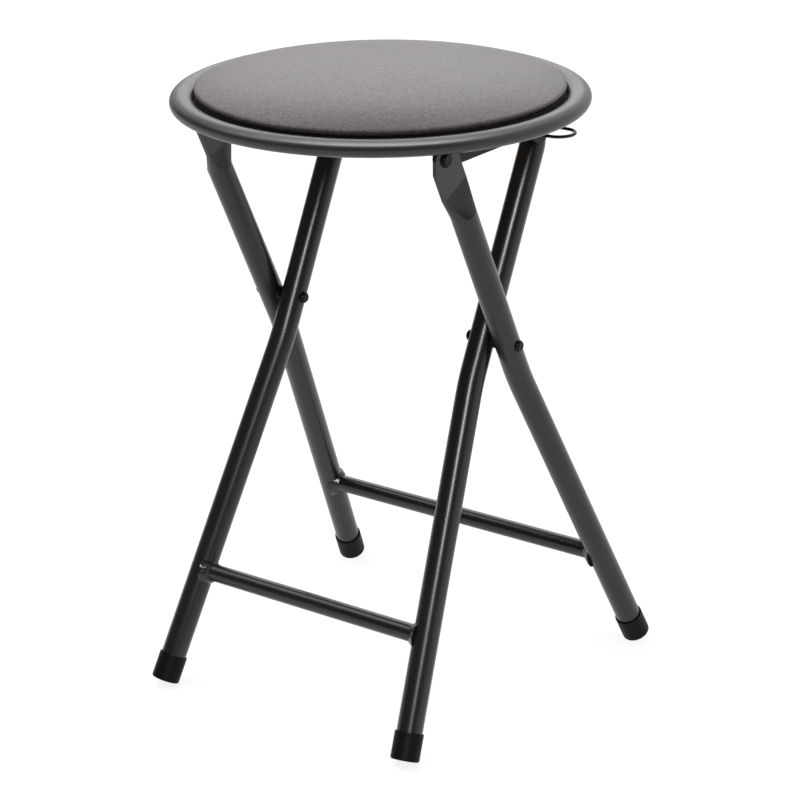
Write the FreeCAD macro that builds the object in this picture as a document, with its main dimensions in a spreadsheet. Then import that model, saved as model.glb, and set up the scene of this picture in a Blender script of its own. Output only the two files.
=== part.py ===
import FreeCAD, Part
import math
import os
import Sketcher

# Round folding stool: a padded seat in a tube ring, on two crossed tube frames.
# Millimetres, +Z up, +X along the crossbars, feet of the outer frame towards +Y.
# The origin is on the floor under the middle of the seat.

doc = FreeCAD.newDocument("FoldingStool")
sheet = doc.addObject("Spreadsheet::Sheet", "Params")

DRIVING_SIZES = [
    # seat ring of oval tube, board and pad
    ("ring_outer_dia", 302.0),
    ("ring_tube_width", 18.0),
    ("ring_tube_height", 12.2),
    ("ring_side_radius", 5.0),
    ("tube_wall", 1.2),
    ("board_ring_gap", 0.6),
    ("board_thickness", 7.5),
    ("board_below_ring", 2.1),
    ("pad_over_ring", 0.2),
    ("pad_side_tuck", 2.6),
    ("pad_side_height", 6.6),
    ("pad_crown", 8.4),
    # legs of both frames
    ("leg_tube_dia", 19.0),
    ("leg_lean", 26.5),
    ("outer_splay", 6.5),
    ("inner_splay", 5.4),
    ("pivot_offset", 2.5),
    ("leg_below_pivot", 306.8),
    ("bend_below_pivot", 33.0),
    ("bend_radius", 200.0),
    ("crossbar_dia", 13.2),
    ("crossbar_below_pivot", 218.3),
    ("weld_leg_size", 2.8),
    ("top_bend_radius", 28.0),
    # foot caps
    ("cap_wall", 1.05),
    ("cap_length", 20.4),
    ("cap_floor", 3.0),
    ("cap_edge", 1.5),
    ("cap_flat_depth", 0.4),
    # middle pivots
    ("pivot_rivet_dia", 6.0),
    ("pivot_head_dia", 8.8),
    ("pivot_head_height", 2.3),
    ("bush_length", 2.9),
    ("bush_dia", 10.5),
    # seat hinge at the flattened tops of the outer legs
    ("hinge_above_pivot", 168.4),
    ("hinge_below_ring", 15.2),
    ("tab_width", 28.4),
    ("tab_thickness", 3.0),
    ("tab_inset", 4.3),
    ("tab_offset", 3.8),
    ("tab_front", 11.3),
    ("tab_flat_length", 26.0),
    ("tab_form_length", 18.0),
    ("tab_ring_gap", 8.2),
    ("hinge_rivet_dia", 6.0),
    ("hinge_head_dia", 11.0),
    ("hinge_head_height", 2.4),
    ("washer_dia", 14.0),
    ("washer_thickness", 0.8),
    # seat rails
    ("rail_thickness", 2.5),
    ("rail_flange", 16.0),
    ("rail_end_lap", 2.2),
    ("rail_hinge_margin", 6.6),
    ("rail_rear_cutback", 12.0),
    ("rail_end_depth", 4.5),
    ("rail_end_slope", 3.5),
    ("rail_below_hinge", 8.1),
    ("rail_weld_dia", 9.0),
    ("ear_radius", 11.0),
    ("ear_above_wire", 6.5),
    ("ear_ahead_of_wire", 5.5),
    # saddles that rest on the inner frame's top bar
    ("saddle_width", 18.0),
    ("saddle_thickness", 4.0),
    ("saddle_wall", 3.0),
    ("saddle_lug", 10.0),
    ("saddle_above_bar_axis", 3.6),
    # wire latch
    ("wire_dia", 2.4),
    ("wire_reach", 24.0),
    ("wire_behind_bar_axis", 6.3),
    ("wire_below_bar_axis", 12.2),
    ("wire_end_length", 3.5),
    # screws
    ("screw_dia", 4.0),
    ("screw_head_dia", 8.0),
    ("screw_head_height", 2.4),
    ("screw_bite", 6.5),
    ("board_screw_half_span", 55.0),
    # clearances
    ("running_gap", 0.05),
    ("fit_gap", 0.05),
    ("side_gap", 0.3),
    ("bar_gap", 0.3),
]

# Sizes that follow from the driving ones.
DERIVED_SIZES = [
    # oval of the ring's tube: two side arcs and two crown arcs, tangent to each other
    ("ring_half_height", "ring_tube_height / 2"),
    ("ring_radius", "ring_outer_dia / 2 - ring_tube_width / 2"),
    ("ring_bore", "ring_outer_dia / 2 - ring_tube_width"),
    ("side_centre", "ring_tube_width / 2 - ring_side_radius"),
    ("crown_reach", "side_centre ^ 2 + ring_half_height ^ 2 - ring_side_radius ^ 2"),
    ("ring_crown_radius", "crown_reach / (2 * (ring_half_height - ring_side_radius))"),
    ("corner_across", "side_centre / (ring_crown_radius - ring_side_radius)"),
    ("corner_up", "(ring_crown_radius - ring_half_height) / (ring_crown_radius - ring_side_radius)"),
    ("leg_radius", "leg_tube_dia / 2"),
    ("cap_dia", "leg_tube_dia + 2 * (fit_gap + cap_wall)"),
    ("foot_lean_cos", "cos(outer_splay * 1 deg) * cos(leg_lean * 1 deg)"),
    ("foot_lean_sin", "sqrt(1 - foot_lean_cos ^ 2)"),
    ("cap_corner_drop", "(cap_dia / 2 - cap_edge) * foot_lean_sin + cap_edge * (1 - foot_lean_cos)"),
    ("pivot_height", "leg_below_pivot * cos(leg_lean * 1 deg) + cap_corner_drop - cap_flat_depth"),
    ("tab_rise", "tab_offset * sin(leg_lean * 1 deg)"),
    ("tab_back", "tab_offset * cos(leg_lean * 1 deg)"),
    ("hinge_y", "pivot_offset - hinge_above_pivot * sin(leg_lean * 1 deg) + tab_back"),
    ("hinge_z", "pivot_height + hinge_above_pivot * cos(leg_lean * 1 deg) + tab_rise"),
    ("tab_outer_x", "sqrt(ring_bore ^ 2 - hinge_y ^ 2) - tab_ring_gap"),
    ("tab_inner_x", "tab_outer_x - tab_thickness"),
    ("outer_leg_half_span", "tab_outer_x - tab_thickness / 2 + tab_inset"),
    ("inner_leg_half_span", "outer_leg_half_span - leg_tube_dia - bush_length"),
    ("bar_below_bend", "crossbar_below_pivot - bend_below_pivot"),
    ("outer_bar_half", "outer_leg_half_span + bar_below_bend * tan(outer_splay * 1 deg)"),
    ("inner_bar_half", "inner_leg_half_span + bar_below_bend * tan(inner_splay * 1 deg)"),
    ("ring_z", "hinge_z + hinge_below_ring"),
    ("board_bottom", "ring_z - board_below_ring"),
    ("board_top", "board_bottom + board_thickness"),
    ("board_dia", "2 * (ring_bore - board_ring_gap)"),
    ("pad_shoulder", "board_top + pad_side_height"),
    ("pad_base_radius", "ring_bore + pad_over_ring - pad_side_tuck"),
    ("pad_side_radius", "(pad_side_height ^ 2 / 4 + pad_side_tuck ^ 2) / (2 * pad_side_tuck)"),
    ("pad_crown_radius", "(pad_base_radius ^ 2 + pad_crown ^ 2) / (2 * pad_crown)"),
    ("bar_z", "board_bottom - saddle_thickness - bar_gap - leg_radius"),
    ("top_bar_above_pivot", "(bar_z - pivot_height) / cos(leg_lean * 1 deg)"),
    ("bar_y", "pivot_offset + top_bar_above_pivot * sin(leg_lean * 1 deg)"),
    ("saddle_half_span", "inner_leg_half_span / 2"),
    ("rail_outer_x", "tab_inner_x - washer_thickness - running_gap"),
    ("rail_inner_x", "rail_outer_x - rail_thickness"),
    ("rail_foot_z", "hinge_z - rail_below_hinge"),
    # where a rail's inner face meets the ring, at the middle of its flange
    ("flange_drop", "board_below_ring + rail_thickness / 2"),
    ("ring_reach", "ring_radius - side_centre - sqrt(ring_side_radius ^ 2 - flange_drop ^ 2)"),
    ("rail_ring_y", "sqrt(ring_reach ^ 2 - rail_inner_x ^ 2)"),
    ("rail_half_length", "rail_ring_y + rail_end_lap"),
    ("rail_foot_front", "hinge_y - rail_hinge_margin"),
    ("rail_foot_rear", "rail_half_length - rail_rear_cutback"),
    ("wire_radius", "wire_dia / 2"),
    ("wire_run_y", "bar_y + wire_behind_bar_axis"),
    ("wire_pivot_y", "wire_run_y - wire_reach"),
    ("wire_z", "bar_z - wire_below_bar_axis"),
    ("ear_y", "wire_pivot_y - ear_ahead_of_wire"),
    ("ear_z", "wire_z + ear_above_wire"),
    ("board_screw_x", "rail_inner_x - rail_flange / 2"),
]


def fill_sheet():
    row = 1
    for name, value in DRIVING_SIZES:
        sheet.set("A%d" % row, name)
        sheet.set("B%d" % row, str(value))
        sheet.setAlias("B%d" % row, name)
        row += 1
    for name, formula in DERIVED_SIZES:
        sheet.set("A%d" % row, name)
        sheet.set("B%d" % row, "=" + formula)
        sheet.setAlias("B%d" % row, name)
        row += 1
    doc.recompute()


fill_sheet()


def dim(name):
    return float(sheet.get(name))


def cell(formula):
    # Puts the sheet's name before every alias in a formula.
    words = []
    word = ""
    for letter in formula + " ":
        if letter.isalnum() or letter == "_":
            word += letter
            continue
        words.append("Params." + word if word in ALIASES else word)
        words.append(letter)
        word = ""
    return "".join(words).strip()


ALIASES = {name for name, _ in DRIVING_SIZES + DERIVED_SIZES}


def worth(formula):
    return float(sheet.evalExpression(cell(formula)))


def vec(x, y, z):
    return FreeCAD.Vector(x, y, z)


AXIS_X = vec(1, 0, 0)
AXIS_Y = vec(0, 1, 0)
AXIS_Z = vec(0, 0, 1)
LEFT = -1
RIGHT = 1
SIDES = (("left", LEFT), ("right", RIGHT))
nodes = {}


def keep(label, thing):
    thing.Label = label
    nodes[label] = thing
    return thing


def turned(axis, degrees, base=FreeCAD.Vector()):
    return FreeCAD.Placement(base, FreeCAD.Rotation(axis, degrees))


# The frames' own axes: the middle pivot is the origin and the legs stand upright.
PIVOT = vec(0, dim("pivot_offset"), dim("pivot_height"))
OUTER_FRAME = turned(AXIS_X, dim("leg_lean"), PIVOT)
INNER_FRAME = turned(AXIS_X, -dim("leg_lean"), PIVOT)
FRAMES = {"outer": OUTER_FRAME, "inner": INNER_FRAME}


# Parametric primitives and booleans

def solid(kind, name, placement=FreeCAD.Placement(), **sizes):
    thing = doc.addObject("Part::" + kind, name)
    for size, formula in sizes.items():
        thing.setExpression(size, cell(formula))
    thing.Placement = placement
    return thing


def rod(name, radius, length, placement):
    return solid("Cylinder", name, placement, Radius=radius, Height=length)


def rod_along_x(name, radius, start_x, length, y, z):
    thing = rod(name, radius, length, turned(AXIS_Y, 90))
    thing.setExpression("Placement.Base.x", cell(start_x))
    thing.setExpression("Placement.Base.y", cell(y))
    thing.setExpression("Placement.Base.z", cell(z))
    return thing


def rod_along_z(name, radius, start_z, length, x, y):
    thing = rod(name, radius, length, FreeCAD.Placement())
    thing.setExpression("Placement.Base.x", cell(x))
    thing.setExpression("Placement.Base.y", cell(y))
    thing.setExpression("Placement.Base.z", cell(start_z))
    return thing


def block(name, corner, size):
    thing = solid("Box", name, Length=size[0], Width=size[1], Height=size[2])
    thing.setExpression("Placement.Base.x", cell(corner[0]))
    thing.setExpression("Placement.Base.y", cell(corner[1]))
    thing.setExpression("Placement.Base.z", cell(corner[2]))
    return thing


def joined(name, things):
    whole = doc.addObject("Part::MultiFuse", name)
    whole.Shapes = things
    return whole


def less(name, base, tools):
    tool = tools[0] if len(tools) == 1 else joined(name + "_tools", tools)
    rest = doc.addObject("Part::Cut", name)
    rest.Base = base
    rest.Tool = tool
    return rest


def group(name, things):
    # Separate solids of one node.
    whole = doc.addObject("Part::Compound", name)
    whole.Links = things
    return whole


# Sketched bodies

def origin_plane(body, role):
    return next(plane for plane in body.Origin.OriginFeatures if plane.Role == role)


def outline_sketch(body, name, role, corners, arcs=()):
    # A closed outline through corners given as pairs of formulas. arcs maps a side's
    # number to its radius formula and to the way it bulges, 1 to the right of travel.
    arcs = dict(arcs)
    sketch = body.newObject("Sketcher::SketchObject", name)
    sketch.AttachmentSupport = (origin_plane(body, role), "")
    sketch.MapMode = "FlatFace"
    places = [vec(worth(across), worth(up), 0) for across, up in corners]
    count = len(places)
    for side in range(count):
        start = places[side]
        end = places[(side + 1) % count]
        if side in arcs:
            formula, bulge = arcs[side]
            radius = worth(formula)
            half = (end - start) * 0.5
            outward = vec(half.y, -half.x, 0).normalize() * bulge
            depth = radius - math.sqrt(radius ** 2 - half.Length ** 2)
            arc = Part.Arc(start, start + half + outward * depth, end)
            sketch.addGeometry(arc, False)
        else:
            sketch.addGeometry(Part.LineSegment(start, end), False)
    starts = [side_start(sketch, side, places[side]) for side in range(count)]
    for side in range(count):
        after = (side + 1) % count
        end_point = 3 - starts[side]
        sketch.addConstraint(Sketcher.Constraint("Coincident", side, end_point, after, starts[after]))
    for side, (across, up) in enumerate(corners):
        pin_point(sketch, side, starts[side], "DistanceX", across, -2)
        pin_point(sketch, side, starts[side], "DistanceY", up, -1)
    for side, (formula, _) in arcs.items():
        number = sketch.addConstraint(Sketcher.Constraint("Radius", side, worth(formula)))
        sketch.setExpression("Constraints[%d]" % number, cell(formula))
    return sketch


def side_start(sketch, side, place):
    # An arc may be stored against the way it was drawn.
    return 1 if sketch.getPoint(side, 1).distanceToPoint(place) < 1e-6 else 2


def pin_point(sketch, side, point, kind, formula, axis):
    if formula == "0":
        sketch.addConstraint(Sketcher.Constraint("PointOnObject", side, point, axis))
        return
    number = sketch.addConstraint(Sketcher.Constraint(kind, -1, 1, side, point, worth(formula)))
    sketch.setExpression("Constraints[%d]" % number, cell(formula))


def turned_body(name, corners, arcs=(), placement=FreeCAD.Placement()):
    # A body of revolution about its own Z, from pairs of radius and height.
    body = doc.addObject("PartDesign::Body", name)
    sketch = outline_sketch(body, name + "_profile", "XZ_Plane", corners, arcs)
    turn = body.newObject("PartDesign::Revolution", name + "_turn")
    turn.Profile = sketch
    turn.ReferenceAxis = (sketch, ["V_Axis"])
    turn.Angle = 360
    body.Placement = placement
    return body


def add_pad(body, name, role, offset, thickness, corners, arcs=()):
    sketch = outline_sketch(body, name + "_outline", role, corners, arcs)
    sketch.setExpression("AttachmentOffset.Base.z", cell(offset))
    pad = body.newObject("PartDesign::Pad", name)
    pad.Profile = sketch
    pad.setExpression("Length", cell(thickness))
    return pad


# Tubes bent along straight runs and arcs

def bent_path(points, radii):
    # Straight runs between points, rounded at each inner point by its radius.
    edges = []
    start = points[0]
    for number in range(1, len(points) - 1):
        corner = points[number]
        back = (points[number - 1] - corner).normalize()
        ahead = (points[number + 1] - corner).normalize()
        half_turn = (math.pi - back.getAngle(ahead)) / 2
        tangent = radii[number - 1] * math.tan(half_turn)
        middle = (back + ahead).normalize()
        depth = radii[number - 1] * (1 / math.cos(half_turn) - 1)
        edges.append(Part.LineSegment(start, corner + back * tangent).toShape())
        arc = Part.Arc(corner + back * tangent, corner + middle * depth, corner + ahead * tangent)
        edges.append(arc.toShape())
        start = corner + ahead * tangent
    edges.append(Part.LineSegment(start, points[-1]).toShape())
    return Part.Wire(edges)


def swept(path, radius):
    first = path.Edges[0]
    along = first.tangentAt(first.FirstParameter)
    profile = Part.Wire(Part.makeCircle(radius, first.valueAt(first.FirstParameter), along))
    return path.makePipeShell([profile], True, True)


def feature(label, shape, placement=FreeCAD.Placement()):
    thing = doc.addObject("Part::Feature", label)
    thing.Shape = shape
    thing.Placement = placement
    return keep(label, thing)


def below_pivot(frame_name, depth, side):
    # A point of a leg's axis below its bend, in the frame's own axes.
    slope = math.tan(math.radians(dim(frame_name + "_splay")))
    spread = (depth - dim("bend_below_pivot")) * slope
    return vec(side * (dim(frame_name + "_leg_half_span") + spread), 0, -depth)


def foot_direction(frame_name, side):
    splay = math.radians(dim(frame_name + "_splay"))
    return vec(side * math.sin(splay), 0, -math.cos(splay))


def foot_end(frame_name, side):
    # Where the tube stops, on the floor of its cap.
    foot = below_pivot(frame_name, dim("leg_below_pivot"), side)
    return foot - foot_direction(frame_name, side) * dim("cap_floor")


def pivot_hole(half_span, side):
    reach = dim("leg_tube_dia")
    start = vec(side * half_span - reach, 0, 0)
    return Part.makeCylinder(dim("pivot_rivet_dia") / 2 + dim("running_gap"), 2 * reach, start, AXIS_X)


# Outer frame: two legs, each pressed flat at the top for the seat hinge

def flat_top(side):
    span = side * dim("outer_leg_half_span")
    middle = span - side * dim("tab_inset")
    half_width = dim("tab_width") / 2
    half_thickness = dim("tab_thickness") / 2
    hinge = dim("hinge_above_pivot")
    flat_end = hinge - dim("tab_flat_length")
    round_start = flat_end - dim("tab_form_length")
    radius = dim("leg_radius")
    offset = dim("tab_offset")
    front = offset - half_width
    rear = offset + half_width

    # Flat tongue about the rivet. Its front edge turns upright beside the rivet and its
    # top is level, both at the same distance from the rivet, so the tipped seat clears it.
    lean = math.radians(dim("leg_lean"))
    sine = math.sin(lean)
    cosine = math.cos(lean)
    reach = dim("tab_front")
    face_x = middle - half_thickness

    def by_rivet(back, up):
        # A point given by level and upright distances from the rivet.
        return vec(face_x, offset + back * cosine + up * sine, hinge - back * sine + up * cosine)

    knee_up = (reach - half_width * cosine) / sine
    corner_up = (reach - half_width * sine) / cosine
    low_front = vec(face_x, front, flat_end)
    low_rear = vec(face_x, rear, flat_end)
    top_rear = vec(face_x, rear, hinge + corner_up)
    knee = vec(face_x, front, hinge + knee_up)
    beside = by_rivet(-reach, 0)
    above = by_rivet(0, reach)
    between = by_rivet(-reach / math.sqrt(2), reach / math.sqrt(2))
    outline = Part.Wire([
        Part.LineSegment(low_front, low_rear).toShape(),
        Part.LineSegment(low_rear, top_rear).toShape(),
        Part.LineSegment(top_rear, above).toShape(),
        Part.Arc(above, between, beside).toShape(),
        Part.LineSegment(beside, knee).toShape(),
        Part.LineSegment(knee, low_front).toShape(),
    ])
    tongue = Part.Face(outline).extrude(AXIS_X * dim("tab_thickness"))

    # Pressed stretch between the flat section and the round tube.
    signs = ((-1, -1), (1, -1), (1, 1), (-1, 1))
    flat = [vec(middle + a * half_thickness, offset + b * half_width, flat_end) for a, b in signs]
    diagonal = radius / math.sqrt(2)
    quarters = [vec(span + a * diagonal, b * diagonal, round_start) for a, b in signs]
    crests = [vec(span, -radius, round_start), vec(span + radius, 0, round_start),
              vec(span, radius, round_start), vec(span - radius, 0, round_start)]
    flat_wire = Part.Wire([Part.LineSegment(flat[n], flat[(n + 1) % 4]).toShape() for n in range(4)])
    round_wire = Part.Wire([Part.Arc(quarters[n], crests[n], quarters[(n + 1) % 4]).toShape()
                            for n in range(4)])
    pressed = Part.makeLoft([flat_wire, round_wire], True, True)

    hole_radius = dim("hinge_rivet_dia") / 2 + dim("fit_gap")
    hole_start = vec(face_x - half_thickness, offset, hinge)
    hole = Part.makeCylinder(hole_radius, 2 * dim("tab_thickness"), hole_start, AXIS_X)
    return tongue.cut(hole), pressed, round_start


def outer_leg(side):
    span = dim("outer_leg_half_span")
    tongue, pressed, round_start = flat_top(side)
    bend = vec(side * span, 0, -dim("bend_below_pivot"))
    points = [vec(side * span, 0, round_start), bend, foot_end("outer", side)]
    path = bent_path(points, [dim("bend_radius")])
    tube = swept(path, dim("leg_radius")).cut(swept(path, dim("leg_radius") - dim("tube_wall")))
    return tube.fuse([pressed, tongue]).removeSplitter().cut(pivot_hole(span, side))


for side_name, side in SIDES:
    feature("outer_leg_" + side_name, outer_leg(side), OUTER_FRAME)


# Inner frame: one tube bent into a U, its top bar under the seat

def inner_tube():
    span = dim("inner_leg_half_span")
    bend_z = -dim("bend_below_pivot")
    corner_z = dim("top_bar_above_pivot")
    right = [foot_end("inner", RIGHT), vec(span, 0, bend_z), vec(span, 0, corner_z)]
    left = [vec(-span, 0, corner_z), vec(-span, 0, bend_z), foot_end("inner", LEFT)]
    radii = [dim("bend_radius"), dim("top_bend_radius"), dim("top_bend_radius"), dim("bend_radius")]
    path = bent_path(right + left, radii)
    tube = swept(path, dim("leg_radius")).cut(swept(path, dim("leg_radius") - dim("tube_wall")))
    return tube.cut([pivot_hole(span, side) for _, side in SIDES])


feature("inner_leg_frame", inner_tube(), INNER_FRAME)


# Crossbars with coped ends, and their weld beads

def leg_tool(name, radius, frame_name, side):
    # A leg's straight lower run, longer than the run itself.
    top = below_pivot(frame_name, 0, side)
    lean = turned(AXIS_Y, 180 - side * dim(frame_name + "_splay"), top)
    return rod(name, radius, "leg_below_pivot * 1.1", FRAMES[frame_name].multiply(lean))


def crossbar(frame_name):
    frame = FRAMES[frame_name]
    name = frame_name + "_crossbar"
    half = frame_name + "_bar_half"
    middle = vec(0, 0, -dim("crossbar_below_pivot"))
    legs = [leg_tool("%s_cope_%s" % (name, side_name), "leg_radius", frame_name, side) for side_name, side in SIDES]
    start = FreeCAD.Placement(middle - AXIS_X * worth(half), FreeCAD.Rotation(AXIS_Y, 90))
    bar = rod(name + "_rod", "crossbar_dia / 2", "2 * " + half, frame.multiply(start))
    keep(name, less(name, bar, legs))

    # A bead is a cone on the bar, kept within a skin round the leg.
    beads = []
    for side_name, side in SIDES:
        base = middle + AXIS_X * (side * (worth(half) - dim("leg_radius") / 2))
        along = FreeCAD.Placement(base, FreeCAD.Rotation(AXIS_Y, -90 * side))
        collar = solid("Cone", "%s_collar_%s" % (name, side_name), frame.multiply(along),
                       Radius1="crossbar_dia / 2 + weld_leg_size + leg_radius / 4",
                       Radius2="crossbar_dia / 2 + weld_leg_size * 0.15",
                       Height="leg_radius / 2 + weld_leg_size")
        skin = leg_tool("%s_skin_%s" % (name, side_name), "leg_radius + weld_leg_size", frame_name, side)
        kept = doc.addObject("Part::Common", "%s_fillet_%s" % (name, side_name))
        kept.Base = collar
        kept.Tool = skin
        beads.append(less("%s_bead_%s" % (name, side_name), kept, [bar] + legs))
    keep(name + "_welds", group(name + "_welds", beads))


crossbar("outer")
crossbar("inner")


# Foot caps, cut flat where they stand on the floor

def foot_cap(label, frame_name, side):
    profile = [
        ("0", "0"),
        ("cap_dia / 2 - cap_edge", "0"),
        ("cap_dia / 2", "cap_edge"),
        ("cap_dia / 2", "cap_length"),
        ("leg_radius + fit_gap", "cap_length"),
        ("leg_radius + fit_gap", "cap_floor"),
        ("0", "cap_floor"),
    ]
    foot = below_pivot(frame_name, dim("leg_below_pivot"), side)
    lean = turned(AXIS_Y, -side * dim(frame_name + "_splay"), foot)
    place = FRAMES[frame_name].multiply(lean)
    cap = turned_body(label + "_cap", profile, {1: ("cap_edge", 1)}, place)
    floor = block(label + "_floor", ("-ring_outer_dia", "-ring_outer_dia", "-cap_dia"),
                  ("ring_outer_dia * 2", "ring_outer_dia * 2", "cap_dia"))
    keep(label, less(label, cap, [floor]))


for side_name, side in SIDES:
    for frame_name in FRAMES:
        foot_cap("%s_foot_cap_%s" % (frame_name, side_name), frame_name, side)


# Middle pivots: a rivet through both legs and a spacer bush between them

def pivot_rivet(label, side):
    # Heights run outwards along the rivet from the middle of the stool.
    inner_face = "inner_leg_half_span - leg_radius - side_gap"
    outer_face = "outer_leg_half_span + leg_radius"
    profile = [
        ("0", inner_face + " - pivot_head_height"),
        ("pivot_head_dia / 2 - pivot_head_height * 0.6", inner_face + " - pivot_head_height"),
        ("pivot_head_dia / 2", inner_face),
        ("pivot_rivet_dia / 2", inner_face),
        ("pivot_rivet_dia / 2", "outer_leg_half_span + leg_radius / 2"),
        ("pivot_head_dia / 2", "outer_leg_half_span + leg_radius / 2"),
        ("pivot_head_dia / 2", outer_face),
        ("pivot_head_dia / 2 - pivot_head_height * 0.6", outer_face + " + pivot_head_height"),
        ("0", outer_face + " + pivot_head_height"),
    ]
    along = OUTER_FRAME.multiply(turned(AXIS_Y, 90 * side))
    arcs = {1: ("pivot_head_height * 1.2", 1), 6: ("pivot_head_height * 1.2", 1)}
    body = turned_body(label + "_body", profile, arcs, along)
    sleeve = leg_sleeve(label + "_leg", side)
    keep(label, less(label, body, [sleeve]))


def leg_sleeve(name, side):
    # The outer leg at its pivot, with the rivet's hole left out.
    leg = leg_stub(name + "_stub", side)
    hole = rod(name + "_hole", "pivot_rivet_dia / 2 + running_gap", "leg_tube_dia * 2",
               OUTER_FRAME.multiply(turned(AXIS_Y, 90, vec(stub_start(side), 0, 0))))
    return less(name, leg, [hole])


def stub_start(side):
    return side * dim("outer_leg_half_span") - dim("leg_tube_dia")


def leg_stub(name, side):
    start = vec(side * dim("outer_leg_half_span"), 0, -dim("leg_tube_dia"))
    return rod(name, "leg_radius", "leg_tube_dia * 2", OUTER_FRAME.multiply(turned(AXIS_Z, 0, start)))


def pivot_bush(label, side):
    start = vec(side * (dim("inner_leg_half_span") + dim("leg_radius") + dim("side_gap")), 0, 0)
    along = OUTER_FRAME.multiply(turned(AXIS_Y, 90 * side, start))
    length = "bush_length + leg_radius - side_gap"
    body = rod(label + "_body", "bush_dia / 2", length, along)
    bore = rod(label + "_bore", "pivot_rivet_dia / 2 + running_gap", length, along)
    keep(label, less(label, body, [bore, leg_stub(label + "_leg", side)]))


for side_name, side in SIDES:
    pivot_rivet("pivot_rivet_" + side_name, side)
    pivot_bush("pivot_bush_" + side_name, side)


# Seat hinge rivets and washers on the flattened leg tops

def hinge_rivet(label, side):
    inner_face = "rail_inner_x - running_gap"
    profile = [
        ("0", inner_face + " - hinge_head_height * 0.75"),
        ("hinge_head_dia / 2 - hinge_head_height * 0.5", inner_face + " - hinge_head_height * 0.75"),
        ("hinge_head_dia / 2", inner_face),
        ("hinge_rivet_dia / 2", inner_face),
        ("hinge_rivet_dia / 2", "tab_outer_x"),
        ("hinge_head_dia / 2", "tab_outer_x"),
        ("hinge_head_dia / 2 - hinge_head_height * 0.6", "tab_outer_x + hinge_head_height"),
        ("0", "tab_outer_x + hinge_head_height"),
    ]
    place = turned(AXIS_Y, 90 * side, vec(0, dim("hinge_y"), dim("hinge_z")))
    keep(label, turned_body(label, profile, {5: ("hinge_head_height * 1.2", 1)}, place))


for side_name, side in SIDES:
    hinge_rivet("hinge_rivet_" + side_name, side)


def hinge_washers():
    rings = []
    for side_name, side in SIDES:
        start = "tab_inner_x - washer_thickness" if side == RIGHT else "-tab_inner_x"
        disc = rod_along_x("washer_disc_" + side_name, "washer_dia / 2", start,
                           "washer_thickness", "hinge_y", "hinge_z")
        bore = rod_along_x("washer_bore_" + side_name, "hinge_rivet_dia / 2 + running_gap", start,
                           "washer_thickness", "hinge_y", "hinge_z")
        rings.append(less("washer_" + side_name, disc, [bore]))
    keep("hinge_washers", group("hinge_washers", rings))


hinge_washers()


# Seat ring, board and pad

def oval_ring(name, inset):
    # The ring's oval, drawn smaller by the inset all round.
    across = "(side_centre + (ring_side_radius - %s) * corner_across)" % inset
    up = "(ring_side_radius - %s) * corner_up" % inset
    profile = [
        ("ring_radius + " + across, "ring_z - " + up),
        ("ring_radius + " + across, "ring_z + " + up),
        ("ring_radius - " + across, "ring_z + " + up),
        ("ring_radius - " + across, "ring_z - " + up),
    ]
    sides = ("ring_side_radius - " + inset, 1)
    crowns = ("ring_crown_radius - " + inset, 1)
    return turned_body(name, profile, {0: sides, 1: crowns, 2: sides, 3: crowns})


ring_outside = oval_ring("ring_outside", "0")
keep("seat_ring", less("seat_ring", ring_outside, [oval_ring("ring_inside", "tube_wall")]))


def board_screw_places():
    for _, side in SIDES:
        for end in (-1, 1):
            yield "%d * board_screw_x" % side, "%d * board_screw_half_span" % end


def saddle_screw_places():
    for _, side in SIDES:
        yield "%d * saddle_half_span" % side, "bar_y + leg_radius + bar_gap + saddle_wall + saddle_lug / 2"


def seat_board():
    disc = rod_along_z("board_disc", "board_dia / 2", "board_bottom", "board_thickness", "0", "0")
    holes = []
    for x, y in list(board_screw_places()) + list(saddle_screw_places()):
        holes.append(rod_along_z("board_hole_%d" % len(holes), "screw_dia / 2 + fit_gap",
                                 "board_bottom", "screw_bite + fit_gap", x, y))
    keep("seat_board", less("seat_board", disc, holes))


seat_board()


def seat_pad():
    profile = [
        ("0", "board_top"),
        ("pad_base_radius", "board_top"),
        ("pad_base_radius", "pad_shoulder"),
        ("0", "pad_shoulder + pad_crown"),
    ]
    arcs = {1: ("pad_side_radius", 1), 2: ("pad_crown_radius", 1)}
    keep("seat_pad", turned_body("seat_pad", profile, arcs))


seat_pad()


# Seat rails: angles under the board, coped to the ring, with an ear for the wire latch

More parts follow.
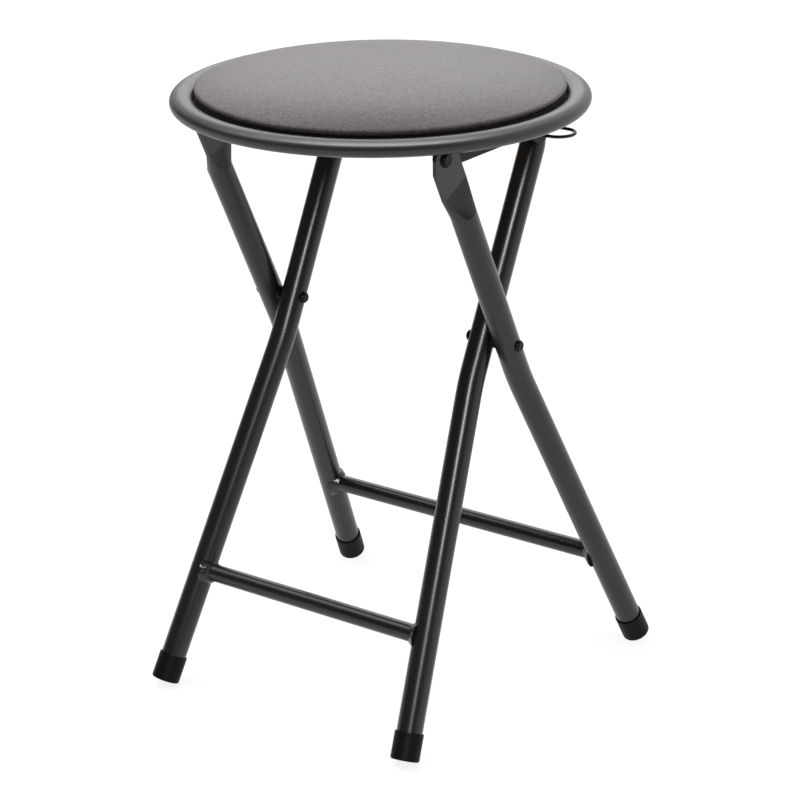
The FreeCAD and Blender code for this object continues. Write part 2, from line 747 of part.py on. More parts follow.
def seat_rail(label, side):
    body = doc.addObject("PartDesign::Body", label + "_body")
    web = [
        ("-rail_half_length", "board_bottom"),
        ("-rail_half_length", "board_bottom - rail_end_depth"),
        ("rail_foot_front", "board_bottom - rail_end_depth - rail_end_slope"),
        ("rail_foot_front", "rail_foot_z"),
        ("rail_foot_rear", "rail_foot_z"),
        ("rail_foot_rear", "board_bottom - rail_end_depth - rail_end_slope"),
        ("rail_half_length", "board_bottom - rail_end_depth"),
        ("rail_half_length", "board_bottom"),
    ]
    web_start = "rail_inner_x" if side == RIGHT else "-rail_outer_x"
    add_pad(body, label + "_web", "YZ_Plane", web_start, "rail_thickness", web)
    flange_in = "%d * (rail_inner_x - rail_flange)" % side
    flange_out = "%d * rail_outer_x" % side
    flange = [
        (flange_in, "-rail_half_length"),
        (flange_out, "-rail_half_length"),
        (flange_out, "rail_half_length"),
        (flange_in, "rail_half_length"),
    ]
    add_pad(body, label + "_flange", "XY_Plane", "board_bottom - rail_thickness", "rail_thickness", flange)

    ear = rod_along_x(label + "_ear", "ear_radius", web_start, "rail_thickness", "ear_y", "ear_z")
    holes = [
        rod_along_x(label + "_hinge_hole", "hinge_rivet_dia / 2 + running_gap", web_start,
                    "rail_thickness", "hinge_y", "hinge_z"),
        rod_along_x(label + "_wire_hole", "wire_radius + running_gap", web_start,
                    "rail_thickness", "wire_pivot_y", "wire_z"),
    ]
    for end in (-1, 1):
        holes.append(rod_along_z("%s_screw_hole_%d" % (label, len(holes)), "screw_dia / 2 + fit_gap",
                                 "board_bottom - rail_thickness", "rail_thickness",
                                 "%d * board_screw_x" % side, "%d * board_screw_half_span" % end))
    whole = joined(label + "_whole", [body, ear])
    keep(label, less(label, whole, holes + [ring_outside]))


for side_name, side in SIDES:
    seat_rail("seat_rail_" + side_name, side)


def rail_welds():
    # A bead in the corner of each rail's end, under its flange and against the ring.
    beads = []
    reach = "rail_weld_dia / 2"
    for _, side in SIDES:
        inside_x = "rail_inner_x - " + reach if side == RIGHT else "-rail_inner_x"
        for end in (-1, 1):
            name = "rail_weld_%d" % len(beads)
            ball = solid("Sphere", name + "_ball", Radius=reach)
            ball.setExpression("Placement.Base.x", cell("%d * rail_inner_x" % side))
            ball.setExpression("Placement.Base.y", cell("%d * (rail_ring_y - rail_weld_dia * 0.15)" % end))
            ball.setExpression("Placement.Base.z", cell("board_bottom - rail_thickness"))
            corner = (inside_x, "%d * rail_half_length - rail_weld_dia" % end,
                      "board_bottom - rail_thickness - " + reach)
            inside = block(name + "_inside", corner, (reach, "rail_weld_dia * 2", reach))
            kept = doc.addObject("Part::Common", name + "_corner")
            kept.Base = ball
            kept.Tool = inside
            beads.append(less(name, kept, [ring_outside]))
    keep("rail_welds", group("rail_welds", beads))


rail_welds()


# Saddles under the board that sit on the inner frame's top bar

def bar_saddle(label, side):
    # A block hollowed for the bar, with a lug behind it for the screw.
    start_x = "%d * saddle_half_span - saddle_width / 2" % side
    half = "(leg_radius + bar_gap + saddle_wall)"
    low = "bar_z + saddle_above_bar_axis"
    height = "board_bottom - bar_z - saddle_above_bar_axis"
    body = block(label + "_block", (start_x, "bar_y - " + half, low),
                 ("saddle_width", "2 * %s + saddle_lug" % half, height))
    x, y = next(place for place in saddle_screw_places() if place[0].startswith("%d " % side))
    cuts = [
        rod_along_x(label + "_seat", "leg_radius + bar_gap", start_x, "saddle_width", "bar_y", "bar_z"),
        rod_along_z(label + "_screw_hole", "screw_dia / 2 + fit_gap", low, height, x, y),
    ]
    keep(label, less(label, body, cuts))


for side_name, side in SIDES:
    bar_saddle("bar_saddle_" + side_name, side)


# Screws: pan heads below, shanks up into the board

def screws(label, head_top, places):
    # head_top is the face that the heads bear on.
    pieces = []
    for x, y in places:
        name = "%s_%d" % (label, len(pieces))
        profile = [
            ("0", head_top + " - screw_head_height"),
            ("screw_head_dia / 2 - screw_head_height * 0.5", head_top + " - screw_head_height"),
            ("screw_head_dia / 2", head_top + " - screw_head_height * 0.4"),
            ("screw_head_dia / 2", head_top),
            ("screw_dia / 2", head_top),
            ("screw_dia / 2", "board_bottom + screw_bite"),
            ("0", "board_bottom + screw_bite"),
        ]
        pieces.append(turned_body(name, profile, (), FreeCAD.Placement(vec(worth(x), worth(y), 0),
                                                                       FreeCAD.Rotation())))
    keep(label, group(label, pieces))


screws("board_screws", "board_bottom - rail_thickness", board_screw_places())
screws("saddle_screws", "bar_z + saddle_above_bar_axis", saddle_screw_places())


# Wire latch: a bail across the back of the top bar, with a finger loop at each side

def latch_wire():
    z = dim("wire_z")
    loop_x = dim("rail_outer_x") + dim("wire_end_length")
    end_x = dim("rail_inner_x") - dim("wire_end_length")
    run_y = dim("wire_run_y")
    pivot_y = dim("wire_pivot_y")
    bulge = dim("wire_reach") / 2
    nose_x = loop_x + bulge
    nose_y = (run_y + pivot_y) / 2
    edges = []
    for side in (LEFT, RIGHT):
        end = Part.LineSegment(vec(side * end_x, pivot_y, z), vec(side * loop_x, pivot_y, z))
        loop = Part.Arc(vec(side * loop_x, pivot_y, z), vec(side * nose_x, nose_y, z), vec(side * loop_x, run_y, z))
        edges.append([end.toShape(), loop.toShape()])
    run = Part.LineSegment(vec(-loop_x, run_y, z), vec(loop_x, run_y, z)).toShape()
    path = Part.Wire(edges[0] + [run] + edges[1][::-1])
    return swept(path, dim("wire_radius"))


feature("latch_wire", latch_wire())


# Checks, then one file for each node

doc.recompute()
for thing in doc.Objects:
    for trouble in ("Invalid", "Error"):
        if trouble in thing.State:
            raise RuntimeError("%s is %s" % (thing.Label, trouble))
for label, thing in nodes.items():
    if thing.Shape.isNull() or not thing.Shape.isValid() or not thing.Shape.Solids:
        raise RuntimeError("bad shape: " + label)

os.makedirs("parts", exist_ok=True)
for label, thing in nodes.items():
    thing.Shape.exportStep("parts/%s.step" % label)
    box = thing.Shape.BoundBox
    print("%-26s solids %d  volume %9.1f  z %.1f to %.1f" % (
        label, len(thing.Shape.Solids), thing.Shape.Volume, box.ZMin, box.ZMax))
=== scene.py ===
import math

import bpy
import numpy as np
from mathutils import Matrix, Vector


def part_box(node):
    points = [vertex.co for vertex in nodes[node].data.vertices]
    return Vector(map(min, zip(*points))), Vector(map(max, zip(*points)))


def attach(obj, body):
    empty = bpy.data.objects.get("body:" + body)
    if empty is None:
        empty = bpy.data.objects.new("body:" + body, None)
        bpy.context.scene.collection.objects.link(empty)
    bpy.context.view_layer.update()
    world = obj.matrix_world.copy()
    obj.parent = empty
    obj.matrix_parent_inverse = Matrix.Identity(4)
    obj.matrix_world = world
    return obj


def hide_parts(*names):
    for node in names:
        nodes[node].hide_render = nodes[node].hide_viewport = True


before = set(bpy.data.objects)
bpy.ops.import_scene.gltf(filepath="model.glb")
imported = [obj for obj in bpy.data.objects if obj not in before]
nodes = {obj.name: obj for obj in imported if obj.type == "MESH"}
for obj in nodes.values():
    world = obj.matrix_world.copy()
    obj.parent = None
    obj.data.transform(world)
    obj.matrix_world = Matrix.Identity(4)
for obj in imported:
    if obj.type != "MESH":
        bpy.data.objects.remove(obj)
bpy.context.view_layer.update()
print("frame loaded:", len(nodes), "nodes")


# helpers for materials

def linear(hexColour):
    # sRGB hex to linear light, channel by channel
    raw = np.array([int(hexColour[i:i + 2], 16) for i in (0, 2, 4)]) / 255
    light = np.where(raw <= 0.04045, raw / 12.92, ((raw + 0.055) / 1.055) ** 2.4)
    return (*light.tolist(), 1.0)


def addNode(tree, kind, inputs=None, **settings):
    node = tree.nodes.new(kind)
    for name, value in settings.items():
        setattr(node, name, value)
    for name, value in (inputs or {}).items():
        if isinstance(value, bpy.types.NodeSocket):
            tree.links.new(value, node.inputs[name])
        else:
            node.inputs[name].default_value = value
    return node


def newMaterial(name):
    material = bpy.data.materials.new(name)
    material.use_nodes = True
    material.node_tree.nodes.clear()
    return material, material.node_tree


def perMetre(millimetres):
    return 1000 / millimetres  # a pattern's scale from its real size


def noise(tree, place, millimetres, detail, roughness=0.5):
    return addNode(tree, "ShaderNodeTexNoise", {
        "Vector": place, "Scale": perMetre(millimetres), "Detail": detail,
        "Roughness": roughness}).outputs["Fac"]


def remap(tree, value, span, to=(0.0, 1.0)):
    # a value stretched from its span to another one
    return addNode(tree, "ShaderNodeMapRange", {
        "Value": value, "From Min": span[0], "From Max": span[1],
        "To Min": to[0], "To Max": to[1]}).outputs["Result"]


def blend(tree, factor, first, second):
    return addNode(tree, "ShaderNodeMix", {"Factor": factor, "A": first, "B": second},
                   data_type="RGBA").outputs["Result"]


def bump(tree, height, strength, depth):
    return addNode(tree, "ShaderNodeBump", {"Height": height, "Strength": strength,
                                            "Distance": depth}).outputs["Normal"]


def dress(nodeNames, material):
    for nodeName in nodeNames:
        slots = nodes[nodeName].data.materials
        slots.clear()
        slots.append(material)


# materials

coat = {"body": "1f1d1d", "dust": "242221", "peel": 1.6, "cloud": 60.0, "roughness": (0.26, 0.31),
        "bump": 0.003, "index": 1.46}
ringCoat = {"body": "2c2a2a", "dust": "312f2e", "peel": 1.6, "cloud": 60.0, "roughness": (0.36, 0.42),
            "bump": 0.003, "index": 1.5}
# the rails' coat is the frame's paint made darker and less reflective: painted shade for their place under the
# seat
shadedRailCoat = {"body": "1c1a1a", "dust": "201e1e", "peel": 1.6, "cloud": 40.0, "roughness": (0.32, 0.4),
            "bump": 0.01, "index": 1.22}
weldCoat = {"body": "232120", "dust": "2b2927", "peel": 2.6, "cloud": 8.0, "roughness": (0.16, 0.26),
            "bump": 0.9, "index": 1.5}
wireCoat = {"body": "101010", "dust": "151414", "peel": 1.2, "cloud": 20.0, "roughness": (0.3, 0.4),
            "bump": 0.01, "index": 1.35}
rivetCoat = {"body": "0d0c0c", "dust": "121111", "peel": 1.4, "cloud": 9.0, "roughness": (0.2, 0.28),
             "bump": 0.02, "index": 1.22}
spray = {"span": (0.3, 0.7), "depth": 0.0004}  # shared by all coats


def powderCoat(name, look):
    # Powder-coated steel, sprayed and baked: near-black charcoal whose gloss mirrors the pale floor,
    # with a faint orange peel in the highlights, or bead ripples where it covers a weld.
    material, tree = newMaterial(name)
    place = addNode(tree, "ShaderNodeTexCoord").outputs["Object"]
    cloud = noise(tree, place, look["cloud"], detail=4.0)
    peel = noise(tree, place, look["peel"], detail=2.0)
    shader = addNode(tree, "ShaderNodeBsdfPrincipled", {
        "Base Color": blend(tree, cloud, linear(look["body"]), linear(look["dust"])),
        "Roughness": remap(tree, cloud, spray["span"], look["roughness"]),
        "Normal": bump(tree, peel, look["bump"], spray["depth"]), "IOR": look["index"]})
    addNode(tree, "ShaderNodeOutputMaterial", {"Surface": shader.outputs["BSDF"]})
    return material


moulded = {"body": "0d0c0c", "worn": "131212", "speckle": 0.9, "cloud": 14.0, "roughness": 0.48,
           "bump": 0.03, "depth": 0.0003, "index": 1.2}
# the vinyl round the board's edge: its near black is painted shade for the gap under the pad's edge
wrap = {"body": "0b0a0a", "worn": "100f0f", "speckle": 1.1, "cloud": 20.0, "roughness": 0.6,
        "bump": 0.05, "depth": 0.0003, "index": 1.2}


def mouldedPlastic(name, look):
    # Injection-moulded PVC or nylon: near black, finely spark-eroded grain, dull with a soft shine.
    # The vinyl round the board's edge is the same, duller, and near black as painted shade under the pad.
    material, tree = newMaterial(name)
    place = addNode(tree, "ShaderNodeTexCoord").outputs["Object"]
    cloud = noise(tree, place, look["cloud"], detail=3.0)
    grain = noise(tree, place, look["speckle"], detail=3.0)
    shader = addNode(tree, "ShaderNodeBsdfPrincipled", {
        "Base Color": blend(tree, cloud, linear(look["body"]), linear(look["worn"])),
        "Roughness": look["roughness"],
        "Normal": bump(tree, grain, look["bump"], look["depth"]), "IOR": look["index"]})
    addNode(tree, "ShaderNodeOutputMaterial", {"Surface": shader.outputs["BSDF"]})
    return material


vinyl = {
    "dark": "484142", "light": "504849", "rose": "55484a",
    "cloud": 38.0, "cloudRoughness": 0.62, "cloudSpan": (0.32, 0.68),
    "patchTimes": 2.4, "patchSeed": 4.0, "patchSpan": (0.45, 0.7),
    "grain": 1.2, "creaseTimes": 2.5, "bump": 0.35, "depth": 0.0003,
    "shadeSpan": (0.5, 1.3), "shade": (0.55, 1.35), "glintSpan": (0.55, 1.15), "glint": (0.36, 0.64),
    "roughness": 0.42, "index": 1.45, "shine": (1.0, 0.92, 0.93, 1.0),
}


def embossedVinyl(look):
    # PVC leatherette, embossed under a roller: dark taupe grey, mottled a little towards rose,
    # with a fine pebble grain that breaks up the shine, and painted shade that darkens its hollows. The grain
    # is drawn a little coarse to show.
    material, tree = newMaterial("embossedVinyl")
    place = addNode(tree, "ShaderNodeTexCoord").outputs["Object"]
    cloud = noise(tree, place, look["cloud"], detail=5.0, roughness=look["cloudRoughness"])
    patch = addNode(tree, "ShaderNodeTexNoise", {
        "Vector": place, "Scale": perMetre(look["cloud"] * look["patchTimes"]), "Detail": 2.0,
        "W": look["patchSeed"]}, noise_dimensions="4D").outputs["Fac"]
    grey = blend(tree, remap(tree, cloud, look["cloudSpan"]), linear(look["dark"]), linear(look["light"]))
    tint = blend(tree, remap(tree, patch, look["patchSpan"]), grey, linear(look["rose"]))
    pebble = addNode(tree, "ShaderNodeTexVoronoi", {"Vector": place, "Scale": perMetre(look["grain"])},
                     feature="SMOOTH_F1")
    crease = noise(tree, place, look["grain"] * look["creaseTimes"], detail=3.0)
    height = addNode(tree, "ShaderNodeMath", {0: pebble.outputs["Distance"], 1: crease},
                     operation="ADD").outputs["Value"]
    # the base colour darkens as the grain's height falls: painted shade in its hollows
    shade = remap(tree, height, look["shadeSpan"], look["shade"])
    speckled = addNode(tree, "ShaderNodeVectorMath", {0: tint, 1: shade}, operation="MULTIPLY")
    shader = addNode(tree, "ShaderNodeBsdfPrincipled", {
        "Base Color": speckled.outputs["Vector"], "Roughness": look["roughness"],
        "Normal": bump(tree, height, look["bump"], look["depth"]), "IOR": look["index"],
        "Specular IOR Level": remap(tree, height, look["glintSpan"], look["glint"]),
        "Specular Tint": look["shine"]})
    addNode(tree, "ShaderNodeOutputMaterial", {"Surface": shader.outputs["BSDF"]})
    return material


steel = {"zinc": "b9b6ae", "scuff": 2.2, "scuffSpan": (0.35, 0.65), "roughness": (0.28, 0.5)}


def platedSteel(look):
    # Cold-headed steel, zinc plated: a metal sheen with small scuffed, duller patches.
    material, tree = newMaterial("zincScrewSteel")
    place = addNode(tree, "ShaderNodeTexCoord").outputs["Object"]
    scuff = noise(tree, place, look["scuff"], detail=4.0)
    shader = addNode(tree, "ShaderNodeBsdfPrincipled", {
        "Base Color": linear(look["zinc"]), "Metallic": 1.0,
        "Roughness": remap(tree, scuff, look["scuffSpan"], look["roughness"])})
    addNode(tree, "ShaderNodeOutputMaterial", {"Surface": shader.outputs["BSDF"]})
    return material


board = {"pale": "7d664c", "dark": "604b36", "chip": 2.6, "chipRoughness": 0.7, "chipSpan": (0.35, 0.65),
         "wrap": "171516", "wrapFrom": 0.114, "ragged": 0.003, "fleck": 0.8, "bump": 0.2, "depth": 0.0003,
         "roughness": 0.8}


def pressedFibreboard(look):
    # Hardboard pressed from fibres: matt brown with paler and darker flecks, and dark round its rim,
    # where the vinyl is drawn under the edge and stapled.
    material, tree = newMaterial("pressedFibreboard")
    place = addNode(tree, "ShaderNodeTexCoord").outputs["Object"]
    chip = noise(tree, place, look["chip"], detail=6.0, roughness=look["chipRoughness"])
    spread = remap(tree, chip, look["chipSpan"])
    tint = blend(tree, spread, linear(look["dark"]), linear(look["pale"]))
    level = addNode(tree, "ShaderNodeVectorMath", {0: place, 1: (1, 1, 0)}, operation="MULTIPLY")
    radius = addNode(tree, "ShaderNodeVectorMath", {0: level.outputs["Vector"]}, operation="LENGTH")
    ragged = addNode(tree, "ShaderNodeMath", {0: spread, 1: look["ragged"], 2: radius.outputs["Value"]},
                     operation="MULTIPLY_ADD")
    wrapped = addNode(tree, "ShaderNodeMath", {0: ragged.outputs["Value"], 1: look["wrapFrom"]},
                      operation="GREATER_THAN")
    fleck = noise(tree, place, look["fleck"], detail=2.0)
    shader = addNode(tree, "ShaderNodeBsdfPrincipled", {
        "Base Color": blend(tree, wrapped.outputs["Value"], tint, linear(look["wrap"])),
        "Roughness": look["roughness"], "Normal": bump(tree, fleck, look["bump"], look["depth"])})
    addNode(tree, "ShaderNodeOutputMaterial", {"Surface": shader.outputs["BSDF"]})
    return material


frameCoat = powderCoat("powderCoatFrame", coat)
ringPaint = powderCoat("powderCoatRing", ringCoat)
shadedRailPaint = powderCoat("powderCoatRailShaded", shadedRailCoat)
weldedCoat = powderCoat("powderCoatWeld", weldCoat)
wireBlack = powderCoat("dippedWireEnamel", wireCoat)
rivetBlack = powderCoat("sprayedRivetEnamel", rivetCoat)
capPlastic = mouldedPlastic("mouldedCapPlastic", moulded)
shadeDarkWrapVinyl = mouldedPlastic("stapledVinylWrapPaintedShade", wrap)
padVinyl = embossedVinyl(vinyl)
screwSteel = platedSteel(steel)
boardFibre = pressedFibreboard(board)

dress(["outer_leg_left", "outer_leg_right", "outer_crossbar", "inner_leg_frame", "inner_crossbar"], frameCoat)
dress(["seat_ring"], ringPaint)
dress(["seat_rail_left", "seat_rail_right"], shadedRailPaint)
dress(["outer_crossbar_welds", "inner_crossbar_welds", "rail_welds"], weldedCoat)
dress(["latch_wire"], wireBlack)
dress(["outer_foot_cap_left", "outer_foot_cap_right", "inner_foot_cap_left", "inner_foot_cap_right",
       "pivot_bush_left", "pivot_bush_right", "hinge_washers",
       "bar_saddle_left", "bar_saddle_right"], capPlastic)
dress(["pivot_rivet_left", "pivot_rivet_right", "hinge_rivet_left", "hinge_rivet_right"], rivetBlack)
dress(["board_screws", "saddle_screws"], screwSteel)
dress(["seat_board"], boardFibre)
for name in nodes:
    nodes[name].data.polygons.foreach_set("use_smooth", [True] * len(nodes[name].data.polygons))
print("materials made")


# new pieces as grids

def gridFaces(number):
    # four-sided faces between neighbours in a table of point numbers
    return np.stack([number[:-1, :-1], number[1:, :-1], number[1:, 1:], number[:-1, 1:]], -1).reshape(-1, 4)


def meshPiece(name, points, faces, material):
    mesh = bpy.data.meshes.new(name)
    mesh.from_pydata(points.tolist(), [], faces.tolist())
    mesh.polygons.foreach_set("use_smooth", [True] * len(mesh.polygons))
    mesh.materials.append(material)
    piece = bpy.data.objects.new(name, mesh)
    bpy.context.scene.collection.objects.link(piece)
    return piece


# seat pad: foam on a board under stretched vinyl, puffed with cloth pressure

padMake = {"crownRings": 27, "turnRings": 8, "side": 0.0026, "half": 0.0033, "crown": 0.0086, "square": 1.7,
           "pressure": 4.0, "frames": 20, "cap": 0.0014, "uneven": 0.12, "tiny": 1e-9}


def padOutline(make, low, high):
    # Half outline by ring from the middle out: a superellipse over the crown down to the waist,
    # where the pad is widest, then a quarter ellipse that tucks under.
    widest = (high.x - low.x) / 2
    waist = low.z + make["half"]
    over = np.linspace(0, np.pi / 2, make["crownRings"] + make["turnRings"] + 1)
    under = np.linspace(0, np.pi / 2, make["turnRings"] + 1)[1:]
    radius = np.concatenate([widest * np.sin(over), widest - make["side"] * (1 - np.cos(under))])
    rise = (make["half"] + make["crown"]) * np.cos(over).clip(0) ** (2 / make["square"])
    height = np.concatenate([waist + rise, waist - make["half"] * np.sin(under)])
    return radius, height


def padSurface(make, low, high):
    # A square table of points whose square rings become circles: ring k lies on the outline's k-th radius,
    # and the angle runs evenly along the ring. A second, flat table closes the base and shares the last
    # ring's points.
    radius, height = padOutline(make, low, high)
    rings = radius.size - 1
    a, b = np.meshgrid(np.arange(-rings, rings + 1), np.arange(-rings, rings + 1), indexing="ij")
    ring = np.maximum(abs(a), abs(b))
    wide = abs(a) >= abs(b)
    along = np.where(wide, a, b)
    across = np.where(wide, b, a) / np.maximum(ring, 1) * np.sign(along)
    angle = np.pi / 4 * across
    main, minor = np.cos(angle) * np.sign(along), np.sin(angle) * np.sign(along)
    heading = np.stack([np.where(wide, main, minor), np.where(wide, minor, main)], -1)
    top = np.concatenate([heading * radius[ring][..., None], height[ring][..., None]], -1)
    base = np.full(ring.shape + (1,), height[-1])
    flat = np.concatenate([heading * (radius[-1] / rings * ring)[..., None], base], -1)
    topNumber = np.arange(ring.size).reshape(ring.shape)
    flatNumber = topNumber.copy()
    inside = flatNumber[1:-1, 1:-1]
    inside[:] = topNumber.size + np.arange(inside.size).reshape(inside.shape)
    points = np.concatenate([top.reshape(-1, 3), flat[1:-1, 1:-1].reshape(-1, 3)])
    faces = np.concatenate([gridFaces(topNumber), gridFaces(flatNumber)[:, ::-1]])
    return points, faces, ring.ravel()


def coordinates(mesh):
    flat = np.empty(len(mesh.vertices) * 3)
    mesh.vertices.foreach_get("co", flat)
    return flat.reshape(-1, 3)


def puff(piece, make, ring):
    # Cloth pressure swells the cover, held round its side and base; the pull of the foam evens it out
    # along each ring.
    before = coordinates(piece.data)
    held = piece.vertex_groups.new(name="held")
    last = make["crownRings"] + make["turnRings"] // 2
    held.add(np.flatnonzero(ring > last).tolist() + list(range(ring.size, len(before))), 1.0, "REPLACE")
    cloth = piece.modifiers.new("puff", "CLOTH")
    cloth.settings.use_pressure = True
    cloth.settings.uniform_pressure_force = make["pressure"]
    cloth.settings.effector_weights.gravity = 0
    cloth.settings.vertex_group_mass = "held"
    cloth.point_cache.frame_start = 1
    cloth.point_cache.frame_end = make["frames"]
    for number in range(1, make["frames"] + 1):
        bpy.context.scene.frame_set(number)
    graph = bpy.context.evaluated_depsgraph_get()
    moved = coordinates(piece.evaluated_get(graph).data) - before
    piece.modifiers.clear()
    piece.vertex_groups.clear()
    bpy.context.scene.frame_set(1)
    far = np.linalg.norm(moved, axis=1, keepdims=True)
    moved *= np.minimum(1, make["cap"] / np.maximum(far, make["tiny"]))
    top = moved[:ring.size]
    plan = before[:ring.size, :2]
    outward = plan / np.maximum(np.linalg.norm(plan, axis=1), make["tiny"])[:, None]
    size = np.bincount(ring)
    spread = (np.bincount(ring, (top[:, :2] * outward).sum(1)) / size)[ring]
    lift = (np.bincount(ring, top[:, 2]) / size)[ring]
    even = np.concatenate([outward * spread[:, None], lift[:, None]], 1)
    moved[:ring.size] = even + make["uneven"] * (top - even)
    piece.data.vertices.foreach_set("co", (before + moved).ravel())
    fine = piece.modifiers.new("fine", "SUBSURF")
    fine.levels = fine.render_levels = 1


padLow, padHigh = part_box("seat_pad")
padPoints, padFaces, padRing = padSurface(padMake, padLow, padHigh)
pad = meshPiece("padCover", padPoints, padFaces, padVinyl)
puff(pad, padMake, padRing)
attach(pad, "seat")
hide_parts("seat_pad")
print("pad made:", len(pad.data.polygons), "faces")


# vinyl drawn round the board's edge, which closes the gap to the ring; near black, as painted shade in that gap

skirtMake = {"around": 160, "clear": 0.00005, "thick": 0.0005, "from": 0.0012, "to": 0.003}


def skirtSurface(make, low, high):
    # An upright band turned about the seat's axis: its rectangular section closes on itself,
    # and so does the turn.
    inner = (high.x - low.x) / 2 + make["clear"]
    outer = inner + make["thick"]
    section = np.array([(outer, make["from"]), (outer, make["to"]), (inner, make["to"]), (inner, make["from"])])
    angle = np.linspace(0, 2 * np.pi, make["around"], endpoint=False)[:, None]
    points = np.stack([section[:, 0] * np.cos(angle), section[:, 0] * np.sin(angle),
                       low.z + section[:, 1] + 0 * angle], -1).reshape(-1, 3)
    number = np.pad(np.arange(len(points)).reshape(-1, 4), ((0, 1), (0, 1)), mode="wrap")
    return points, gridFaces(number)


boardLow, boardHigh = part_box("seat_board")
skirtPoints, skirtFaces = skirtSurface(skirtMake, boardLow, boardHigh)
skirt = meshPiece("wrapSkirtPaintedShade", skirtPoints, skirtFaces, shadeDarkWrapVinyl)
skirt.data.polygons.foreach_set("use_smooth", [False] * len(skirt.data.polygons))
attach(skirt, "seat")
print("skirt made")


# stage: a pale floor, soft light and the photograph's view

studio = {"floorHalf": 8.0, "floorCount": 3, "sweep": "f4f4f4", "glow": 1.22, "part": 0.7}


def paleFloor(look):
    # Painted studio floor: white to the eye, with the object's soft shadow kept.
    material, tree = newMaterial("paintedStudioFloor")
    ray = addNode(tree, "ShaderNodeLightPath")
    matt = addNode(tree, "ShaderNodeBsdfDiffuse", {"Color": linear(look["sweep"])})
    glow = addNode(tree, "ShaderNodeEmission", {"Color": (1, 1, 1, 1), "Strength": look["glow"]})
    seen = addNode(tree, "ShaderNodeMath", {0: ray.outputs["Is Camera Ray"], 1: ray.outputs["Is Glossy Ray"]},
                   operation="MAXIMUM")
    part = addNode(tree, "ShaderNodeMath", {0: seen.outputs["Value"], 1: look["part"]}, operation="MULTIPLY")
    mix = addNode(tree, "ShaderNodeMixShader", {"Fac": part.outputs["Value"], 1: matt.outputs["BSDF"],
                                                2: glow.outputs["Emission"]})
    addNode(tree, "ShaderNodeOutputMaterial", {"Surface": mix.outputs["Shader"]})
    return material


side = np.linspace(-studio["floorHalf"], studio["floorHalf"], studio["floorCount"])
floorX, floorY = np.meshgrid(side, side, indexing="ij")
floorPoints = np.stack([floorX, floorY, np.zeros_like(floorX)], -1).reshape(-1, 3)
floorFaces = gridFaces(np.arange(floorX.size).reshape(floorX.shape))
floor = meshPiece("studioFloor", floorPoints, floorFaces, paleFloor(studio))

room = {"soft": 0.5, "white": (0.25, 0.97, 0.0), "darkFrom": -0.15, "whiteFrom": 0.55, "dark": 0.04}
world = bpy.data.worlds.new("studioWorld")
world.use_nodes = True
world.node_tree.nodes.clear()
sky = world.node_tree
ray = addNode(sky, "ShaderNodeLightPath")
# glossy surfaces see a white sweep behind the object and the dim room in front of it
toward = addNode(sky, "ShaderNodeTexCoord").outputs["Generated"]
behind = addNode(sky, "ShaderNodeVectorMath", {0: toward, 1: room["white"]}, operation="DOT_PRODUCT")
mirrored = addNode(sky, "ShaderNodeMapRange", {
    "Value": behind.outputs["Value"], "From Min": room["darkFrom"], "From Max": room["whiteFrom"],
    "To Min": room["dark"], "To Max": 1.0}, interpolation_type="SMOOTHSTEP")
lit = addNode(sky, "ShaderNodeMix", {"Factor": ray.outputs["Is Glossy Ray"], "A": room["soft"],
                                     "B": mirrored.outputs["Result"]}, data_type="FLOAT")
seen = addNode(sky, "ShaderNodeMath", {0: ray.outputs["Is Camera Ray"], 1: ray.outputs["Is Transmission Ray"]},
               operation="MAXIMUM")
level = addNode(sky, "ShaderNodeMix", {"Factor": seen.outputs["Value"], "A": lit.outputs["Result"], "B": 1.0},
                data_type="FLOAT")
glow = addNode(sky, "ShaderNodeBackground", {"Color": (1, 1, 1, 1), "Strength": level.outputs["Result"]})
addNode(sky, "ShaderNodeOutputWorld", {"Surface": glow.outputs["Background"]})
bpy.context.scene.world = world

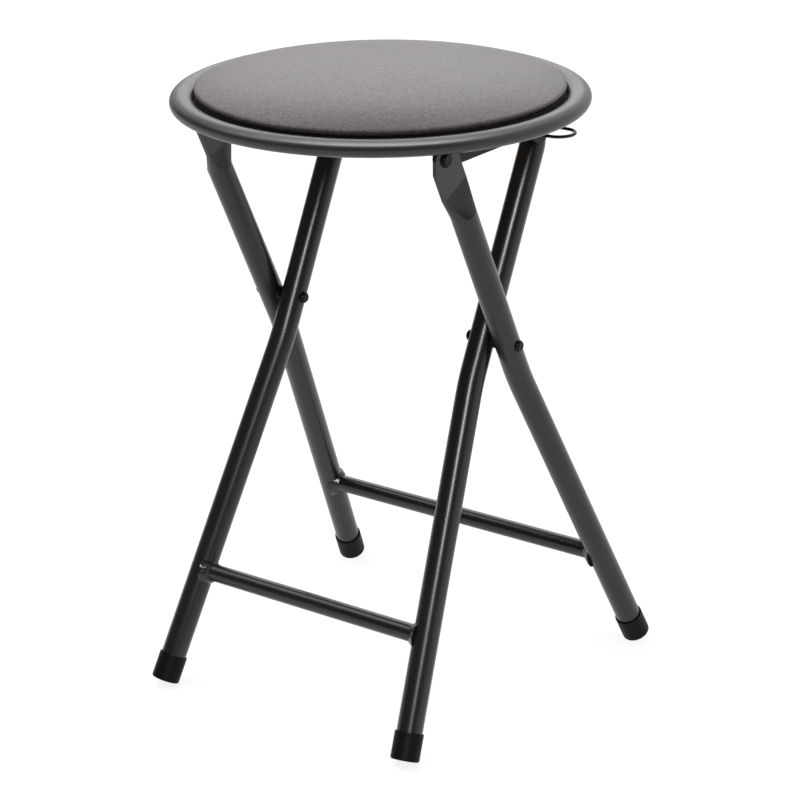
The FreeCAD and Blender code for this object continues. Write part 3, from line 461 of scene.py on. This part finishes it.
lamps = {
    "overhead": {"at": (0.1, -0.3, 2.2), "aim": (0.0, 0.0, 0.4), "size": (1.3, 1.1), "power": 7.0,
                 "soft": True},
    "left": {"at": (-1.25, -0.45, 2.1), "aim": (0.0, 0.0, 0.35), "size": (1.2, 0.9), "power": 12.0,
             "soft": True},
    "behind": {"at": (-1.45, 2.0, 1.55), "aim": (0.0, 0.0, 0.45), "size": (1.5, 1.0), "power": 10.5,
               "soft": True},
    "canopy": {"at": (-0.05, 0.1, 2.3), "aim": (0.0, 0.0, 0.45), "size": (1.6, 1.2), "power": 66.0,
               "soft": False, "reaches": ("seat_ring",)},
    "strip": {"at": (1.42, -1.92, 1.65), "aim": (0.0, 0.0, 0.3), "size": (0.4, 0.9), "power": 42.0,
              "soft": False,
              "reaches": [name for name in nodes if name not in ("seat_ring", "seat_pad", "seat_board")]},
}


def aimed(place, target):
    return (Vector(target) - Vector(place)).to_track_quat("-Z", "Y").to_matrix().to_4x4()


for lampName, lamp in lamps.items():
    light = bpy.data.lights.new(lampName, "AREA")
    light.shape = "RECTANGLE"
    light.size, light.size_y = lamp["size"]
    light.energy = lamp["power"]
    holder = bpy.data.objects.new(lampName, light)
    holder.visible_camera = False
    holder.visible_diffuse = lamp["soft"]  # the canopy and the strip are only there for highlights
    holder.matrix_world = Matrix.Translation(lamp["at"]) @ aimed(lamp["at"], lamp["aim"])
    bpy.context.scene.collection.objects.link(holder)
    if "reaches" in lamp:
        receivers = bpy.data.collections.new(lampName + "Receivers")
        for name in lamp["reaches"]:
            receivers.objects.link(nodes[name])
        holder.light_linking.receiver_collection = receivers

view = {"azimuth": 36.1, "elevation": 20.9, "roll": -0.7, "distance": 1.96964,
        "target": (0.01204, 0.0027, 0.2145), "lens": 118.958, "sensor": 36.0, "reach": 50}
azimuth, elevation = math.radians(view["azimuth"]), math.radians(view["elevation"])
back = Vector((math.sin(azimuth) * math.cos(elevation), -math.cos(azimuth) * math.cos(elevation),
               math.sin(elevation)))
lens = bpy.data.cameras.new("photoView")
lens.lens = view["lens"]
lens.sensor_width = view["sensor"]
lens.clip_end = view["reach"]
camera = bpy.data.objects.new("photoView", lens)
place = Vector(view["target"]) + back * view["distance"]
camera.matrix_world = (Matrix.Translation(place) @ (-back).to_track_quat("-Z", "Y").to_matrix().to_4x4()
                       @ Matrix.Rotation(math.radians(view["roll"]), 4, "Z"))
bpy.context.scene.collection.objects.link(camera)
bpy.context.scene.camera = camera
bpy.context.scene.view_settings.view_transform = "Standard"
print("stage set")
